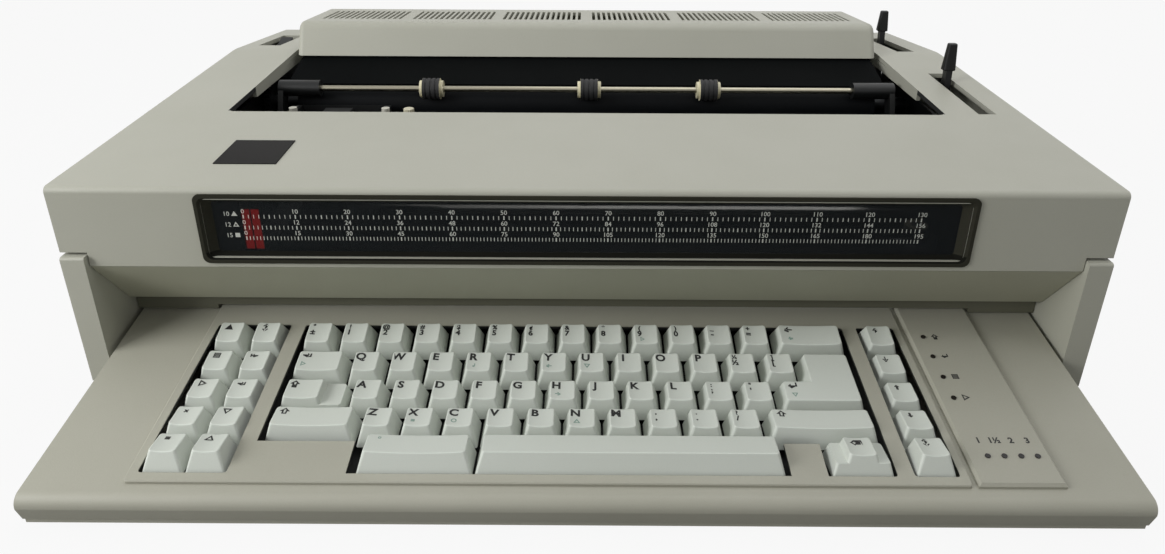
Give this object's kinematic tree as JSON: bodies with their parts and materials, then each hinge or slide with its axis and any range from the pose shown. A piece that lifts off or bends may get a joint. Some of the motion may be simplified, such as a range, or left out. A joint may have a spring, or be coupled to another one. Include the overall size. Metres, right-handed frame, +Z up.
{
  "type": "electronic typewriter",
  "caption": "Electronic daisy-wheel typewriter with a full keyboard, lifting top cover, vented hood, paper bail, platen and a print carrier on rails.",
  "frame": {"origin": "middle of the footprint, on the table under the feet", "axes": "+X to the typist's right, +Y from the keyboard to the back, +Z up"},
  "size_m": [0.519, 0.4454, 0.153],
  "materials": {
    "cover_plastic": "warm pearl grey, fine grain",
    "hood_plastic": "warm pearl grey, fine grain",
    "window_plastic": "dark olive grey, satin",
    "tinted_glass": "dark tinted, glossy",
    "badge_plastic": "dark, satin",
    "black_plastic": "black, satin",
    "black_rubber": "black, matt",
    "key_plastic": "light grey, fine grain",
    "cream_plastic": "cream, satin",
    "red_plastic": "bright red",
    "lamp_plastic": "dark red, clear",
    "frame_steel": "zinc plated",
    "shaft_steel": "bright ground",
    "motor_steel": "plated can",
    "supply_steel": "grey",
    "board_laminate": "green laminate"
  },
  "bodies": {
    "base": {"base_pan": "cover_plastic", "rubber_feet": "black_rubber", "hinge_pins": "shaft_steel", "front_chin": "cover_plastic", "side_frames": "frame_steel", "carrier_rails": "shaft_steel", "drive_motors": "motor_steel", "drive_belt": "black_rubber", "paper_guide": "black_plastic", "power_supply": "supply_steel", "mains_inlet": "black_plastic", "logic_board": "board_laminate", "keyboard_bottom": "cover_plastic", "keyboard_top": "cover_plastic", "key_surround": "cover_plastic", "key_guide": "black_plastic", "status_panel": "cover_plastic", "status_lamps": "lamp_plastic"},
    "cover": {"top_cover": "cover_plastic", "rear_hood": "hood_plastic", "window_frame": "window_plastic", "scale_glass": "tinted_glass", "badge_plate": "badge_plastic"},
    "rocker": {"switch_rocker": "black_plastic"},
    "platen": {"platen_core": "frame_steel", "platen_rubber": "black_rubber"},
    "pinion": {"line_pinion": "cream_plastic"},
    "cradle": {"feed_cradle": "frame_steel"},
    "feed": {"feed_roller": "black_rubber"},
    "release": {"release_lever": "black_plastic", "release_knob": "black_plastic"},
    "bail": {"bail_arms": "black_plastic", "bail_rod": "shaft_steel", "bail_knob": "black_plastic"},
    "bail_roller_left": {"left_bail_roller": "black_rubber"},
    "bail_roller_middle": {"middle_bail_roller": "black_rubber"},
    "bail_roller_right": {"right_bail_roller": "black_rubber"},
    "carrier": {"carrier_body": "black_plastic", "wheel_motor": "motor_steel", "ribbon_cartridge": "black_plastic", "position_pointer": "red_plastic"},
    "type_wheel": {"daisy_wheel": "black_plastic"},
    "hammer": {"print_hammer": "shaft_steel"},
    "pulley_right": {"drive_pulley": "cream_plastic"},
    "pulley_left": {"idler_pulley": "cream_plastic"},
    "number_keys_body": {"number_keys": "key_plastic"},
    "backspace_key_body": {"backspace_key": "key_plastic"},
    "tab_key_body": {"tab_key": "key_plastic"},
    "q_row_keys_body": {"q_row_keys": "key_plastic"},
    "lock_key_body": {"lock_key": "key_plastic"},
    "a_row_keys_body": {"a_row_keys": "key_plastic"},
    "carrier_return_key_body": {"carrier_return_key": "key_plastic"},
    "left_shift_key_body": {"left_shift_key": "key_plastic"},
    "z_row_keys_body": {"z_row_keys": "key_plastic"},
    "right_shift_key_body": {"right_shift_key": "key_plastic"},
    "code_key_body": {"code_key": "key_plastic"},
    "space_bar_body": {"space_bar": "key_plastic"},
    "correct_key_body": {"correct_key": "key_plastic"},
    "left_function_keys_body": {"left_function_keys": "key_plastic"},
    "paper_feed_keys_body": {"paper_feed_keys": "key_plastic"}
  },
  "joints": [
    {"name": "cover_hinge", "type": "hinge", "parent": "base", "child": "cover", "pos_m": [0, 0.21675, 0.094], "axis": [-1, 0, 0], "range_deg": [0, 55]},
    {"name": "bail_swing", "type": "hinge", "parent": "base", "child": "bail", "pos_m": [0, 0.03925, 0.088], "axis": [1, 0, 0], "range_deg": [0, 30]},
    {"name": "bail_roller_left_spin", "type": "hinge", "parent": "bail", "child": "bail_roller_left", "pos_m": [-0.1047, 0.05225, 0.1176], "axis": [1, 0, 0], "continuous": true},
    {"name": "bail_roller_middle_spin", "type": "hinge", "parent": "bail", "child": "bail_roller_middle", "pos_m": [0.0019, 0.05225, 0.1176], "axis": [1, 0, 0], "continuous": true},
    {"name": "bail_roller_right_spin", "type": "hinge", "parent": "bail", "child": "bail_roller_right", "pos_m": [0.0825, 0.05225, 0.1176], "axis": [1, 0, 0], "continuous": true},
    {"name": "release_swing", "type": "hinge", "parent": "base", "child": "release", "pos_m": [0.23, 0.16725, 0.075], "axis": [1, 0, 0], "range_deg": [0, 35]},
    {"name": "cradle_swing", "type": "hinge", "parent": "base", "child": "cradle", "pos_m": [0, 0.02225, 0.07], "axis": [-1, 0, 0], "range_deg": [0, 4.7]},
    {"name": "feed_roller_spin", "type": "hinge", "parent": "cradle", "child": "feed", "pos_m": [0, 0.0853, 0.08335], "axis": [1, 0, 0], "continuous": true},
    {"name": "platen_spin", "type": "hinge", "parent": "base", "child": "platen", "pos_m": [0, 0.07125, 0.102], "axis": [1, 0, 0], "continuous": true},
    {"name": "pinion_spin", "type": "hinge", "parent": "base", "child": "pinion", "pos_m": [-0.222, 0.08474, 0.08215], "axis": [1, 0, 0], "continuous": true},
    {"name": "carrier_slide", "type": "slide", "parent": "base", "child": "carrier", "axis": [1, 0, 0], "range_m": [0, 0.33]},
    {"name": "type_wheel_spin", "type": "hinge", "parent": "carrier", "child": "type_wheel", "pos_m": [-0.165, 0.04775, 0.069], "axis": [0, 1, 0], "continuous": true},
    {"name": "hammer_strike", "type": "slide", "parent": "carrier", "child": "hammer", "axis": [0, 1, 0], "range_m": [0, 0.0022], "stiffness_N_per_m": 100, "springref_m": -0.001},
    {"name": "drive_pulley_spin", "type": "hinge", "parent": "base", "child": "pulley_right", "pos_m": [0.207, -0.02275, 0.051], "axis": [0, 0, 1], "range_deg": [-10, 2750]},
    {"name": "idler_pulley_spin", "type": "hinge", "parent": "base", "child": "pulley_left", "pos_m": [-0.212, -0.02275, 0.051], "axis": [0, 0, 1], "range_deg": [-10, 2750]},
    {"name": "mains_switch", "type": "hinge", "parent": "base", "child": "rocker", "pos_m": [-0.241, 0.15875, 0.117], "axis": [-1, 0, 0], "range_deg": [0, 16]},
    {"name": "number_keys_press", "type": "slide", "parent": "base", "child": "number_keys_body", "axis": [0, 0.2849, -0.9585], "range_m": [0, 0.0035], "stiffness_N_per_m": 400, "springref_m": -0.002},
    {"name": "backspace_key_press", "type": "slide", "parent": "base", "child": "backspace_key_body", "axis": [0, 0.2849, -0.9585], "range_m": [0, 0.0035], "stiffness_N_per_m": 400, "springref_m": -0.002},
    {"name": "tab_key_press", "type": "slide", "parent": "base", "child": "tab_key_body", "axis": [0, 0.1978, -0.9802], "range_m": [0, 0.0035], "stiffness_N_per_m": 400, "springref_m": -0.002},
    {"name": "q_row_keys_press", "type": "slide", "parent": "base", "child": "q_row_keys_body", "axis": [0, 0.1978, -0.9802], "range_m": [0, 0.0035], "stiffness_N_per_m": 400, "springref_m": -0.002},
    {"name": "lock_key_press", "type": "slide", "parent": "base", "child": "lock_key_body", "axis": [0, 0.109, -0.994], "range_m": [0, 0.0035], "stiffness_N_per_m": 400, "springref_m": -0.002},
    {"name": "a_row_keys_press", "type": "slide", "parent": "base", "child": "a_row_keys_body", "axis": [0, 0.109, -0.994], "range_m": [0, 0.0035], "stiffness_N_per_m": 400, "springref_m": -0.002},
    {"name": "carrier_return_key_press", "type": "slide", "parent": "base", "child": "carrier_return_key_body", "axis": [0, 0.1535, -0.9881], "range_m": [0, 0.0035], "stiffness_N_per_m": 400, "springref_m": -0.002},
    {"name": "left_shift_key_press", "type": "slide", "parent": "base", "child": "left_shift_key_body", "axis": [0, 0.0194, -0.9998], "range_m": [0, 0.0035], "stiffness_N_per_m": 400, "springref_m": -0.002},
    {"name": "z_row_keys_press", "type": "slide", "parent": "base", "child": "z_row_keys_body", "axis": [0, 0.0194, -0.9998], "range_m": [0, 0.0035], "stiffness_N_per_m": 400, "springref_m": -0.002},
    {"name": "right_shift_key_press", "type": "slide", "parent": "base", "child": "right_shift_key_body", "axis": [0, 0.0194, -0.9998], "range_m": [0, 0.0035], "stiffness_N_per_m": 400, "springref_m": -0.002},
    {"name": "code_key_press", "type": "slide", "parent": "base", "child": "code_key_body", "axis": [0, -0.0704, -0.9975], "range_m": [0, 0.0035], "stiffness_N_per_m": 400, "springref_m": -0.002},
    {"name": "space_bar_press", "type": "slide", "parent": "base", "child": "space_bar_body", "axis": [0, -0.0704, -0.9975], "range_m": [0, 0.0035], "stiffness_N_per_m": 400, "springref_m": -0.002},
    {"name": "correct_key_press", "type": "slide", "parent": "base", "child": "correct_key_body", "axis": [0, -0.0704, -0.9975], "range_m": [0, 0.0035], "stiffness_N_per_m": 400, "springref_m": -0.002},
    {"name": "left_function_keys_press", "type": "slide", "parent": "base", "child": "left_function_keys_body", "axis": [0, 0.109, -0.994], "range_m": [0, 0.0035], "stiffness_N_per_m": 400, "springref_m": -0.002},
    {"name": "paper_feed_keys_press", "type": "slide", "parent": "base", "child": "paper_feed_keys_body", "axis": [0, 0.109, -0.994], "range_m": [0, 0.0035], "stiffness_N_per_m": 400, "springref_m": -0.002}
  ],
  "couplings": [
    {"joint": "cradle_swing", "follows": "release_swing", "ratio": 0.1314},
    {"joint": "feed_roller_spin", "follows": "platen_spin", "ratio": -2.8333},
    {"joint": "pinion_spin", "follows": "platen_spin", "ratio": -2},
    {"joint": "drive_pulley_spin", "follows": "carrier_slide", "rad_per_m": 142.86},
    {"joint": "idler_pulley_spin", "follows": "carrier_slide", "rad_per_m": 142.86}
  ]
}
